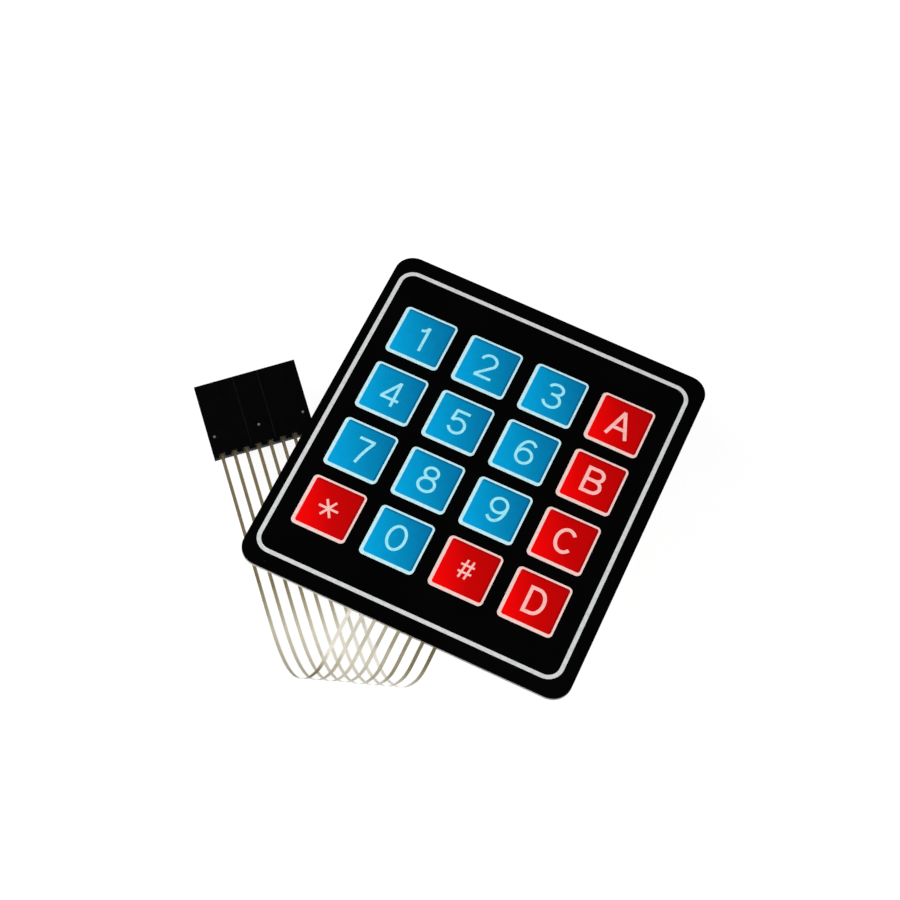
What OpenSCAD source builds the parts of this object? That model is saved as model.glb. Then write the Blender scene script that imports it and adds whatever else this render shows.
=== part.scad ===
// Membrane keypad: a laminate of printed films with sixteen keys, whose two circuit films
// run on as a flat tail. The tail leaves the lower edge, curls under the pad at a slant
// and ends in a socket housing with eight contacts.
// Origin: middle of the rear face. +Z comes out of the front, +Y points to the top row.

/* [Pad] */
// Width of the pad
pad_w = 69.2; // [66:0.1:90]
// Height of the pad
pad_h = 76.9; // [72:0.1:100]
// Radius of the pad's corners
pad_corner_r = 4; // [1:0.1:8]

/* [Layers] */
// Thickness of the printed overlay
overlay_t = 0.2; // [0.1:0.01:0.4]
// Thickness of each adhesive sheet
adhesive_t = 0.12; // [0.05:0.01:0.25]
// Thickness of each circuit film
film_t = 0.1; // [0.075:0.005:0.2]
// Thickness of the spacer between the circuit films
spacer_t = 0.1; // [0.05:0.01:0.25]
// Thickness of one pass of printed ink
ink_t = 0.02; // [0.01:0.005:0.05]
// Thickness of the paper that covers the rear adhesive
liner_t = 0.1; // [0.05:0.01:0.2]

/* [Keys] */
// Side of a key with its white edge
key_size = 11.9; // [9:0.1:13]
// Distance from column to column
column_pitch = 14.65; // [13.5:0.05:16]
// Distance from row to row
row_pitch = 14.3; // [13.5:0.05:16]
// Width of the white edge around a key
key_edge = 0.7; // [0.3:0.05:1.5]
// Radius of a key's corners
key_corner_r = 1; // [0.5:0.1:2]
// How far the print lies to the left of the pad's middle
print_shift = 0.6; // [0:0.1:1]

/* [Border line] */
// Distance from the pad's sides to the border line
border_side = 2.35; // [1.5:0.05:4]
// Distance from the pad's top and bottom to the border line
border_end = 3.35; // [1.5:0.05:4]
// Width of the border line
border_line = 0.85; // [0.3:0.05:1.5]
// Radius of the border line's outer corners
border_corner_r = 3.4; // [1.6:0.1:6]

/* [Circuit] */
// Diameter of a contact spot under a key
spot_d = 6; // [4:0.1:7]
// Diameter of the spacer's window around a contact spot
window_d = 9; // [7.5:0.1:11]
// Width of the air channels between the windows
vent_w = 1; // [0.5:0.1:2]
// Width of a conductor line
line_w = 0.7; // [0.4:0.05:1.2]
// Distance between neighbouring conductor lines along the pad's edges
lane_pitch = 1.3; // [1.25:0.05:1.5]
// Distance from the pad's edges to the first conductor line
seal_w = 3; // [2:0.1:3.5]

/* [Tail] */
// Width of the clear film beside the outer conductors
tail_edge = 0.4; // [0.2:0.1:2]
// Length of the tail from the pad's edge to the connector
tail_l = 78.2; // [70:0.1:120]
// How far the tail lies to the left of the pad's middle
tail_shift = 0.9; // [0:0.1:3]
// Distance from conductor to conductor
trace_pitch = 2.54; // [2.5:0.01:2.6]
// Slant of the bend's axis to the pad's lower edge
fold_angle = 21.3; // [5:0.1:35]
// Radius of the bend where it leaves the pad
exit_r = 4.8; // [4:0.1:12]
// Angle of the bend that has the first radius
exit_turn = 83; // [60:1:130]
// Radius of the bend as it runs back under the pad
return_r = 15; // [4:0.1:20]
// Angle of the bend that has the second radius
return_turn = 112; // [60:1:120]

/* [Connector] */
// Length of the socket housing
housing_l = 15.5; // [13:0.1:18]
// Thickness of the socket housing
housing_t = 2.6; // [2.5:0.05:3.5]
// Wall of the housing beside the tail
housing_side = 0.85; // [0.3:0.05:1]
// Wall of the housing at its open end
housing_front = 0.9; // [0.5:0.05:1.5]
// Width of the square hole for a pin
pin_hole = 0.9; // [0.7:0.05:1.2]
// Depth of the tail inside the housing
tail_grip = 4; // [3:0.1:5]
// Outer width of a contact
contact_w = 1.7; // [1.4:0.05:1.8]
// Thickness of the contact's sheet metal
contact_t = 0.2; // [0.1:0.02:0.25]
// Room around a contact in its cavity
contact_clear = 0.1; // [0.05:0.01:0.15]
// Room that the contact's springs leave for a pin
pin_gap = 0.56; // [0.4:0.02:0.6]

/* [Hidden] */
$fn = 48;
key_count = 4;
trace_count = 2 * key_count;
// Keys with letters and signs are red: the last column, and the last row but for its zero
red_column = 3;
red_row = 3;
zero_column = 1;
// How far a cut runs past the faces that it goes through
cut_over = 0.8;

// Levels of the layers, from the liner's back up
rear_adhesive_z = liner_t;
lower_film_z = rear_adhesive_z + adhesive_t;
row_ink_z = lower_film_z + film_t;
spacer_z = row_ink_z + ink_t;
column_ink_z = spacer_z + spacer_t;
upper_film_z = column_ink_z + ink_t;
overlay_adhesive_z = upper_film_z + film_t;
overlay_z = overlay_adhesive_z + adhesive_t;
white_z = overlay_z + overlay_t;
colour_z = white_z + ink_t;
tail_t = overlay_adhesive_z - lower_film_z;
fold_z = lower_film_z + tail_t / 2;

// The bend: rulings parallel to its axis, at a distance v from the pad's middle
tail_w = (trace_count - 1) * trace_pitch + line_w + 2 * tail_edge;
tail_left = -tail_shift - tail_w / 2;
tail_right = -tail_shift + tail_w / 2;
bend_turn = exit_turn + return_turn;
exit_len = exit_r * exit_turn * PI / 180;
bend_len = exit_len + return_r * return_turn * PI / 180;
bend_v = tail_right * sin(fold_angle) + pad_h / 2 * cos(fold_angle);
bend_step = 4;
exit_steps = ceil(exit_turn / bend_step);
return_steps = ceil(return_turn / bend_step);
rulings = concat(
    [for (i = [0 : exit_steps]) exit_len * i / exit_steps],
    [for (i = [1 : return_steps]) exit_len + (bend_len - exit_len) * i / return_steps]
);
// How far a strip reaches into the sheet that it grows out of
strip_root = 1;

// The connector, with the film's end in its slot
cavity_w = contact_w + 2 * contact_clear;
slot_w = tail_w + 2 * contact_clear;
housing_w = slot_w + 2 * housing_side;
slot_t = tail_t + 2 * contact_t + 2 * contact_clear;
cavity_y = tail_grip + contact_clear;
cavity_end = housing_l - housing_front;
jaw_y = 1.2;
jaw_w = 1.5;
neck_w = 1;
neck_l = 1.4;
sleeve_y = tail_grip + neck_l;
sleeve_end = cavity_end - contact_clear;
sleeve_in = contact_w - 2 * contact_t;
spring_inset = 1;
lance_y = 1.3;
lance_w = 0.8;
lance_l = 1.2;
lance_h = 0.2;
lance_room = 0.25;
notch_w = 1.3;
notch_l = 0.8;
score_w = 0.15;
score_depth = 0.06;
pip_d = 0.5;
pip_h = 0.12;
pip_y = 4.4;
lead_in = 0.25;

// Places of keys, conductors and lanes
function key_x(column) = -print_shift + (column - (key_count - 1) / 2) * column_pitch;
function key_y(row) = ((key_count - 1) / 2 - row) * row_pitch;
function is_red(row, column) = column == red_column || (row == red_row && column != zero_column);
function trace_x(i) = -tail_shift + (i - (trace_count - 1) / 2) * trace_pitch;
function lane_x(row) = -pad_w / 2 + seal_w + row * lane_pitch;
function lane_y(level) = -pad_h / 2 + seal_w + level * lane_pitch;

// Heading of the film after a length b past the start of the bend
function heading(b) =
    b <= 0 ? 0
    : b < exit_len ? b / exit_r * 180 / PI
    : b < bend_len ? exit_turn + (b - exit_len) / return_r * 180 / PI
    : bend_turn;

// Distance that the film has gone outwards after a length b
function reach(b) =
    b <= 0 ? b
    : b <= exit_len ? exit_r * sin(heading(b))
    : b <= bend_len ? reach(exit_len) + return_r * (sin(heading(b)) - sin(exit_turn))
    : reach(bend_len) + (b - bend_len) * cos(bend_turn);

// Distance that the film has sunk after a length b
function sink(b) =
    b <= 0 ? 0
    : b <= exit_len ? exit_r * (1 - cos(heading(b)))
    : b <= bend_len ? sink(exit_len) + return_r * (cos(exit_turn) - cos(heading(b)))
    : sink(bend_len) + (b - bend_len) * sin(bend_turn);

// Where a point of the flat tail goes: x across, s along from the pad's edge, t off the film's middle
function folded(x, s, t) =
    let (
        y = -pad_h / 2 - s,
        along = x * cos(fold_angle) + y * sin(fold_angle),
        b = x * sin(fold_angle) - y * cos(fold_angle) - bend_v,
        out = bend_v + reach(b) + t * sin(heading(b))
    )
    [
        along * cos(fold_angle) + out * sin(fold_angle),
        along * sin(fold_angle) - out * cos(fold_angle),
        fold_z - sink(b) + t * cos(heading(b))
    ];

// Length along the tail at which the edge at x meets the ruling b
function ruling_s(x, b) = (bend_v + b - x * sin(fold_angle)) / cos(fold_angle) - pad_h / 2;

// A flat strip of the tail from x1 to x2, z1 to z2, taken round the bend, as one closed solid
module strip(x1, x2, z1, z2, s2) {
    t1 = z1 - fold_z;
    t2 = z2 - fold_z;
    left = concat([-strip_root], [for (b = rulings) ruling_s(x1, b)], [s2]);
    right = concat([-strip_root], [for (b = rulings) ruling_s(x2, b)], [s2]);
    last = len(left) - 1;
    points = [
        for (i = [0 : last])
            each [
                folded(x1, left[i], t1),
                folded(x2, right[i], t1),
                folded(x2, right[i], t2),
                folded(x1, left[i], t2)
            ]
    ];
    walls = [
        for (i = [0 : last - 1], k = [0 : 3])
            let (
                a = 4 * i + k,
                b = 4 * i + (k + 1) % 4,
                c = 4 * (i + 1) + (k + 1) % 4,
                d = 4 * (i + 1) + k
            )
            each [[a, c, b], [a, d, c]]
    ];
    ends = [[0, 1, 2, 3], [4 * last + 3, 4 * last + 2, 4 * last + 1, 4 * last]];
    polyhedron(points, concat(walls, ends));
}

// Rectangle with round corners about the origin
module rounded(w, h, r) {
    square([w - 2 * r, h], center = true);
    square([w, h - 2 * r], center = true);
    for (x = [-1, 1], y = [-1, 1])
        translate([x * (w / 2 - r), y * (h / 2 - r)])
            circle(r);
}

// One whole sheet of the laminate
module sheet(z, t) {
    translate([0, 0, z])
        linear_extrude(t)
            rounded(pad_w, pad_h, pad_corner_r);
}

// Straight conductor line along X or Y from p to q
module line(p, q) {
    low = [min(p.x, q.x), min(p.y, q.y)];
    high = [max(p.x, q.x), max(p.y, q.y)];
    translate(low - [line_w, line_w] / 2)
        square(high - low + [line_w, line_w]);
}

// Line that runs from p down to the pad's lower edge, where the tail takes over
module drop_line(p) {
    translate([p.x - line_w / 2, -pad_h / 2])
        square([line_w, p.y + pad_h / 2 + line_w / 2]);
}

// Conductor line of the tail
module tail_line(i, z) {
    strip(trace_x(i) - line_w / 2, trace_x(i) + line_w / 2, z, z + ink_t, tail_l + tail_grip);
}

// Places what is drawn flat at the tail's far end: X across, Y on past the tail, Z off the film
module at_tail_end() {
    translate(folded(-tail_shift, tail_l, 0))
        rotate(bend_turn, [cos(fold_angle), sin(fold_angle), 0])
            rotate([0, 0, 180])
                children();
}

module graphic_overlay() {
    color([0.03, 0.03, 0.04])
        sheet(overlay_z, overlay_t);
}

module white_print() {
    color([0.9, 0.91, 0.92])
        translate([0, 0, white_z])
            linear_extrude(ink_t) {
                for (row = [0 : key_count - 1], column = [0 : key_count - 1])
                    translate([key_x(column), key_y(row)])
                        rounded(key_size, key_size, key_corner_r);
                translate([-print_shift, 0])
                    difference() {
                        rounded(pad_w - 2 * border_side, pad_h - 2 * border_end, border_corner_r);
                        rounded(
                            pad_w - 2 * (border_side + border_line),
                            pad_h - 2 * (border_end + border_line),
                            border_corner_r - border_line
                        );
                    }
            }
}

// Fields of colour on the keys that are red, or on those that aren't
module key_fields(red) {
    field = key_size - 2 * key_edge;
    translate([0, 0, colour_z])
        linear_extrude(ink_t)
            for (row = [0 : key_count - 1], column = [0 : key_count - 1])
                if (is_red(row, column) == red)
                    translate([key_x(column), key_y(row)])
                        rounded(field, field, key_corner_r / 2);
}

module blue_print() {
    color([0.0, 0.58, 0.79])
        key_fields(false);
}

module red_print() {
    color([0.86, 0.02, 0.02])
        key_fields(true);
}

module overlay_adhesive() {
    color([0.9, 0.9, 0.86])
        sheet(overlay_adhesive_z, adhesive_t);
}

module upper_circuit_film() {
    color([0.92, 0.93, 0.93]) {
        sheet(upper_film_z, film_t);
        strip(tail_left, tail_right, upper_film_z, upper_film_z + film_t, tail_l + tail_grip);
    }
}

// Conductor of one column: spots under its keys, a line down, and its line of the tail
module column_conductor(column) {
    x = key_x(column);
    end_x = trace_x(key_count + column);
    level = lane_y(column < key_count - 1 ? column : 0);
    color([0.7, 0.67, 0.58]) {
        translate([0, 0, column_ink_z])
            linear_extrude(ink_t) {
                for (row = [0 : key_count - 1])
                    translate([x, key_y(row)])
                        circle(d = spot_d);
                line([x, key_y(0)], [x, level]);
                line([x, level], [end_x, level]);
                drop_line([end_x, level]);
            }
        tail_line(key_count + column, column_ink_z);
    }
}

module circuit_spacer() {
    color([0.88, 0.88, 0.84]) {
        difference() {
            sheet(spacer_z, spacer_t);
            translate([0, 0, spacer_z - cut_over])
                linear_extrude(spacer_t + 2 * cut_over) {
                    for (row = [0 : key_count - 1], column = [0 : key_count - 1])
                        translate([key_x(column), key_y(row)])
                            circle(d = window_d);
                    for (column = [0 : key_count - 1])
                        translate([key_x(column) - vent_w / 2, key_y(key_count - 1)])
                            square([vent_w, key_y(0) - key_y(key_count - 1)]);
                    translate([key_x(0), key_y(0) - vent_w / 2])
                        square([key_x(key_count - 1) - key_x(0), vent_w]);
                }
        }
        strip(tail_left, tail_right, spacer_z, spacer_z + spacer_t, tail_l + tail_grip);
    }
}

// Conductor of one row: spots under its keys, a line round the left edge, and its line of the tail
module row_conductor(row) {
    y = key_y(row);
    side = lane_x(row);
    level = lane_y(row);
    color([0.7, 0.67, 0.58]) {
        translate([0, 0, row_ink_z])
            linear_extrude(ink_t) {
                for (column = [0 : key_count - 1])
                    translate([key_x(column), y])
                        circle(d = spot_d);
                line([side, y], [key_x(key_count - 1), y]);
                line([side, y], [side, level]);
                line([side, level], [trace_x(row), level]);
                drop_line([trace_x(row), level]);
            }
        tail_line(row, row_ink_z);
    }
}

module lower_circuit_film() {
    color([0.92, 0.93, 0.93]) {
        sheet(lower_film_z, film_t);
        strip(tail_left, tail_right, lower_film_z, lower_film_z + film_t, tail_l + tail_grip);
    }
}

module rear_adhesive() {
    color([0.9, 0.9, 0.86])
        sheet(rear_adhesive_z, adhesive_t);
}

module release_liner() {
    color([0.95, 0.94, 0.9])
        sheet(0, liner_t);
}

// Box from its lower corner's y and z, centred on x
module bar(w, y, l, z, h, x = 0) {
    translate([x - w / 2, y, z])
        cube([w, l, h]);
}

// Place of a contact across the housing
function contact_x(i) = trace_x(i) + tail_shift;

// One contact's way through the housing: cavity, pin hole with its lead-in, and latch window
module contact_way(x) {
    lead_d = pin_hole * sqrt(2);
    lead_h = lead_in + cut_over;
    window_y = sleeve_y + lance_y - lance_room;
    bar(cavity_w, cavity_y, cavity_end - cavity_y, -cavity_w / 2, cavity_w, x);
    bar(pin_hole, cavity_end - cut_over, housing_front + 2 * cut_over, -pin_hole / 2, pin_hole, x);
    translate([x, housing_l - lead_in, 0])
        rotate([-90, 45, 0])
            cylinder(h = lead_h, d1 = lead_d, d2 = lead_d + 2 * sqrt(2) * lead_h, $fn = 4);
    bar(lance_w + 2 * lance_room, window_y, lance_l + 2 * lance_room, 0, housing_t, x);
    bar(notch_w, -cut_over, notch_l + cut_over, -housing_t, housing_t, x);
}

module connector_housing() {
    color([0.04, 0.04, 0.04])
        at_tail_end() {
            difference() {
                bar(housing_w, 0, housing_l, -housing_t / 2, housing_t);
                bar(slot_w, -cut_over, cut_over + tail_grip + contact_clear, -slot_t / 2, slot_t);
                for (i = [0 : trace_count - 1])
                    contact_way(contact_x(i));
                for (x = [-1, 1] * trace_pitch)
                    bar(score_w, notch_l, housing_l, -housing_t / 2 - cut_over, cut_over + score_depth, x);
            }
            for (x = [-1, 0, 1] * (housing_w / 2 - trace_pitch / 2))
                translate([x, pip_y, -housing_t / 2 - pip_h])
                    cylinder(h = pip_h, d = pip_d);
        }
}

// One contact: two jaws on the film, a neck, and a square sleeve with two springs for the pin
module contact(i) {
    x = contact_x(i);
    spring_y = sleeve_y + spring_inset;
    spring_end = sleeve_end - spring_inset;
    color([0.78, 0.76, 0.7])
        at_tail_end() {
            for (z = [-tail_t / 2 - contact_t, tail_t / 2])
                bar(jaw_w, jaw_y, tail_grip + contact_t - jaw_y, z, contact_t, x);
            bar(jaw_w, tail_grip, contact_t, -tail_t / 2 - contact_t, tail_t + 2 * contact_t, x);
            bar(neck_w, tail_grip, neck_l + contact_t, -contact_t / 2, contact_t, x);
            bar(contact_w, sleeve_y, contact_t, -contact_w / 2, contact_w, x);
            difference() {
                bar(contact_w, sleeve_y, sleeve_end - sleeve_y, -contact_w / 2, contact_w, x);
                bar(sleeve_in, sleeve_y - cut_over, housing_l, -sleeve_in / 2, sleeve_in, x);
            }
            for (side = [0, 1])
                translate([x, 0, 0])
                    mirror([0, 0, side])
                        translate([-neck_w / 2, 0, 0])
                            rotate([90, 0, 90])
                                linear_extrude(neck_w)
                                    polygon([
                                        [spring_y, sleeve_in / 2],
                                        [(spring_y + spring_end) / 2, pin_gap / 2],
                                        [spring_end, sleeve_in / 2]
                                    ]);
            bar(lance_w, sleeve_y + lance_y, lance_l, contact_w / 2, lance_h, x);
        }
}

graphic_overlay();
white_print();
blue_print();
red_print();
overlay_adhesive();
upper_circuit_film();
for (column = [0 : key_count - 1])
    column_conductor(column);
circuit_spacer();
for (row = [0 : key_count - 1])
    row_conductor(row);
lower_circuit_film();
rear_adhesive();
release_liner();
connector_housing();
for (i = [0 : trace_count - 1])
    contact(i);
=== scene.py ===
"""Looks of a membrane keypad: printed front, curled clear tail, flat pin socket and paper back.

Sizes are in millimetres and are turned to metres where a mesh is made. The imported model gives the
levels of the layers and the place of the socket.
"""

import logging
import math
from dataclasses import dataclass
from enum import Enum
from functools import partialmethod

import bmesh
import bpy
from mathutils import Euler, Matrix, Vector


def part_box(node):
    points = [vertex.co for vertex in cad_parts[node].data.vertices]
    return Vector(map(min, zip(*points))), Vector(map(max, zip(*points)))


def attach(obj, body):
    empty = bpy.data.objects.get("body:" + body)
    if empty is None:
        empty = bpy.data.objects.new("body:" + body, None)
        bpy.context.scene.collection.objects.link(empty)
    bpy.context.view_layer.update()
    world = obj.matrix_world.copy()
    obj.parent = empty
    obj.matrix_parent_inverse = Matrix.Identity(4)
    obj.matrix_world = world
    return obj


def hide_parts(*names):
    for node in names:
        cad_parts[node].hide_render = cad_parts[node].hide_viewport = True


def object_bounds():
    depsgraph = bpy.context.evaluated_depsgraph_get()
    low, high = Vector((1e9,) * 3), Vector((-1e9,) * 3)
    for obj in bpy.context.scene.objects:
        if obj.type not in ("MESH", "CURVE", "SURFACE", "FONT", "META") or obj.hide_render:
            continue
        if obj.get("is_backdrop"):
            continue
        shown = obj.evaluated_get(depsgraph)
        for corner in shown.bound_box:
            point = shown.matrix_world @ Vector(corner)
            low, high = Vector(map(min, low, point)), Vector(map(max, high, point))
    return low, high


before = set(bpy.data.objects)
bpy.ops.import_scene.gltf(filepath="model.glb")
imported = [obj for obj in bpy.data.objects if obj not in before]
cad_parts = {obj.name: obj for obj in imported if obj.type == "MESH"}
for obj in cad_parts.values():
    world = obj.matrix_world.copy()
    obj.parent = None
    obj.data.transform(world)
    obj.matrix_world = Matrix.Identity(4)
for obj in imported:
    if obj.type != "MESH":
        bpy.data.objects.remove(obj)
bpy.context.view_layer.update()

LOG = logging.getLogger("keypad")
MM = 0.001
ROOT = "root"
PAD_W = 69.2
PAD_H = 76.9
PAD_CORNER = 4.0
KEYS = 4
MIDDLE_KEY = (KEYS - 1) / 2
LINES = 2 * KEYS  # the tail has one for each row and each column
TAIL_RIGHT = 8.74  # the tail's right edge, where its bend starts
QUARTER_TURN = 90
SMOOTH_ANGLE = 30
NEAR = 0.25  # whole numbers that differ by less are equal
SAME_PLACE = 1e-4  # points that lie closer are one
GRAIN_DETAIL = 2
Point = tuple[float, float]
Triple = tuple[float, float, float]
Colour = Triple
Linear = tuple[float, float, float, float]
WHITE: Linear = (1, 1, 1, 1)


class KeyKind(Enum):
    """The two kinds of key: digits on blue, letters and signs on red."""

    DIGIT = 0
    SIGN = 1


def level(node: str, top: bool) -> float:
    """Height of a CAD node's highest face, or of its lowest, in millimetres."""
    low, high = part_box(node)
    return (high.z if top else low.z) / MM


def linear(colour: Colour) -> Linear:
    """Turns a colour as seen on screen, 0 to 255, into the renderer's linear colour with a full alpha."""
    shares = [c / 255 for c in colour]
    # The curve and its numbers are those of the usual screen colours.
    return (*(s / 12.92 if s <= 0.04045 else ((s + 0.055) / 1.055) ** 2.4 for s in shares), 1.0)


class Field:
    """A number that flows through a node tree; arithmetic on it adds math nodes."""

    def __init__(self, nodes: "Nodes", socket: bpy.types.NodeSocket) -> None:
        """Keeps the tree's calls and the output socket that carries the number."""
        self.nodes = nodes
        self.socket = socket

    def apply(self, operation: str, *others: "Field | float") -> "Field":
        """Adds one math node with this number and the others as its inputs, and gives its result."""
        inputs = dict(enumerate((self, *others)))
        return self.nodes.field(self.nodes.add("ShaderNodeMath", inputs, operation=operation).outputs[0])

    # The last three of these take no further input, the others take one.
    __add__ = partialmethod(apply, "ADD")
    __sub__ = partialmethod(apply, "SUBTRACT")
    __mul__ = partialmethod(apply, "MULTIPLY")
    __truediv__ = partialmethod(apply, "DIVIDE")
    at_least = partialmethod(apply, "MAXIMUM")
    at_most = partialmethod(apply, "MINIMUM")
    above = partialmethod(apply, "GREATER_THAN")
    below = partialmethod(apply, "LESS_THAN")
    __abs__ = partialmethod(apply, "ABSOLUTE")
    sin = partialmethod(apply, "SINE")
    cos = partialmethod(apply, "COSINE")

    def __rsub__(self, other: float) -> "Field":
        """A plain number less this one."""
        return self * -1.0 + other

    def share(self) -> "Field":
        """The number held between 0 and 1."""
        return self.at_least(0.0).at_most(1.0)


class Nodes:
    """A node tree with short calls to add to it."""

    def __init__(self, tree: bpy.types.NodeTree) -> None:
        """Keeps the tree."""
        self.tree = tree

    def field(self, socket: bpy.types.NodeSocket) -> Field:
        """A socket's number, ready for arithmetic."""
        return Field(self, socket)

    def feed(self, socket: bpy.types.NodeSocket, value: object) -> None:
        """Gives a socket its value.

        Args:
            socket: The input socket.
            value: A field, a socket or a node's first output to link, or a plain value.
        """
        if isinstance(value, bpy.types.Node):
            value = value.outputs[0]
        if isinstance(value, Field):
            value = value.socket
        if isinstance(value, bpy.types.NodeSocket):
            self.tree.links.new(value, socket)
        else:
            socket.default_value = value

    def add(self, kind: str, links: dict[str | int, object] | None = None,
            **settings: object) -> bpy.types.Node:
        """Adds a node.

        Args:
            kind: Type of the node.
            links: Name or number of an input to what feeds it.
            settings: Properties of the node.

        Returns:
            The new node.
        """
        node = self.tree.nodes.new(kind)
        for name, value in settings.items():
            setattr(node, name, value)
        for name, value in (links or {}).items():
            self.feed(node.inputs[name], value)
        return node


class GeometryRecipe(Nodes):
    """A Geometry Nodes tree with named inputs, run once on an object to leave a plain mesh."""

    def __init__(self, name: str) -> None:
        """Starts an empty tree with a geometry input and output."""
        super().__init__(bpy.data.node_groups.new(name, "GeometryNodeTree"))
        self.tree.interface.new_socket("Geometry", in_out="INPUT", socket_type="NodeSocketGeometry")
        self.tree.interface.new_socket("Geometry", in_out="OUTPUT", socket_type="NodeSocketGeometry")
        self.entry = self.tree.nodes.new("NodeGroupInput")
        self.exit = self.tree.nodes.new("NodeGroupOutput")

    @property
    def geometry(self) -> bpy.types.NodeSocket:
        """The geometry that comes in."""
        return self.entry.outputs[0]

    def input(self, name: str, kind: str) -> bpy.types.NodeSocket:
        """Adds a named input of a kind, Float, Vector or Material, and gives its socket inside the tree."""
        self.tree.interface.new_socket(name, in_out="INPUT", socket_type=f"NodeSocket{kind}")
        return self.entry.outputs[name]

    def number(self, name: str) -> Field:
        """Adds a named number that takes part in arithmetic."""
        return self.field(self.input(name, "Float"))

    def position(self) -> tuple[Field, Field, Field]:
        """The three coordinates of the point that is worked on."""
        where = self.add("GeometryNodeInputPosition")
        split = self.add("ShaderNodeSeparateXYZ", {"Vector": where})
        return tuple(self.field(socket) for socket in split.outputs)

    def close(self, geometry: bpy.types.Node) -> None:
        """Ends the tree in Realize Instances and Set Material.

        Args:
            geometry: The node that gives the finished geometry.
        """
        material = self.input("Material", "Material")
        real = self.add("GeometryNodeRealizeInstances", {"Geometry": geometry})
        dressed = self.add("GeometryNodeSetMaterial", {"Geometry": real, "Material": material})
        self.feed(self.exit.inputs[0], dressed)

    def run(self, obj: bpy.types.Object, **values: object) -> bpy.types.Object:
        """Runs the tree on an object and keeps the result as a plain mesh.

        Args:
            obj: A mesh or curve object at the origin.
            values: Input name, with _ for a space, to its value.

        Returns:
            A mesh object of the same name.
        """
        modifier = obj.modifiers.new(self.tree.name, "NODES")
        modifier.node_group = self.tree
        for name, value in values.items():
            modifier[self.tree.interface.items_tree[name.replace("_", " ")].identifier] = value
        return bake(obj)


def bake(obj: bpy.types.Object) -> bpy.types.Object:
    """Replaces an object by a plain mesh of what its modifiers give.

    Args:
        obj: The object with its modifiers.

    Returns:
        A mesh object of the same name with no modifiers.
    """
    name = obj.name
    seen = obj.evaluated_get(bpy.context.evaluated_depsgraph_get())
    mesh = bpy.data.meshes.new_from_object(seen)
    bpy.data.objects.remove(obj)
    mesh.name = name
    return place(name, mesh)


def place(name: str, data: bpy.types.ID) -> bpy.types.Object:
    """Links new data into the scene as an object at the origin.

    Args:
        name: Name of the object.
        data: Its mesh, curve, lamp or camera.

    Returns:
        The object.
    """
    obj = bpy.data.objects.new(name, data)
    bpy.context.scene.collection.objects.link(obj)
    return obj


def mesh_object(name: str, shape: bmesh.types.BMesh) -> bpy.types.Object:
    """Makes an object of a finished shape.

    Args:
        name: Name of the object.
        shape: The shape, in millimetres. It is freed.

    Returns:
        The object, in metres.
    """
    mesh = bpy.data.meshes.new(name)
    bmesh.ops.scale(shape, vec=(MM, MM, MM), verts=shape.verts)
    shape.to_mesh(mesh)
    shape.free()
    return place(name, mesh)


def bridge(shape: bmesh.types.BMesh, loops: list[list[bmesh.types.BMVert]]) -> None:
    """Joins each loop of points to the next by a band of four-sided faces.

    Args:
        shape: The shape that the points are in.
        loops: The loops, all of equally many points.
    """
    for a, b in zip(loops, loops[1:]):
        for i in range(len(a)):
            j = (i + 1) % len(a)
            shape.faces.new((a[i], a[j], b[j], b[i]))


def smooth(obj: bpy.types.Object) -> None:
    """Shades an object smooth, apart from its sharp edges."""
    for polygon in obj.data.polygons:
        polygon.use_smooth = True
    obj.data.set_sharp_from_angle(angle=math.radians(SMOOTH_ANGLE))


def hand_in(obj: bpy.types.Object, slot: str, *nodes: str) -> None:
    """Puts a finished piece on the keypad's body.

    Args:
        obj: The piece.
        slot: Name of a material slot; not used.
        nodes: CAD nodes that the piece stands for.
    """
    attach(obj, ROOT)
    if nodes:
        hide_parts(*nodes)
    LOG.info("%s: %d faces", obj.name, len(obj.data.polygons))


def dress_node(node: str, material: bpy.types.Material) -> None:
    """Gives a CAD node that stays in view its material.

    Args:
        node: Name of the node.
        material: The material.
    """
    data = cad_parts[node].data
    data.materials.clear()
    data.materials.append(material)
    LOG.info("%s: dressed", node)


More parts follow.
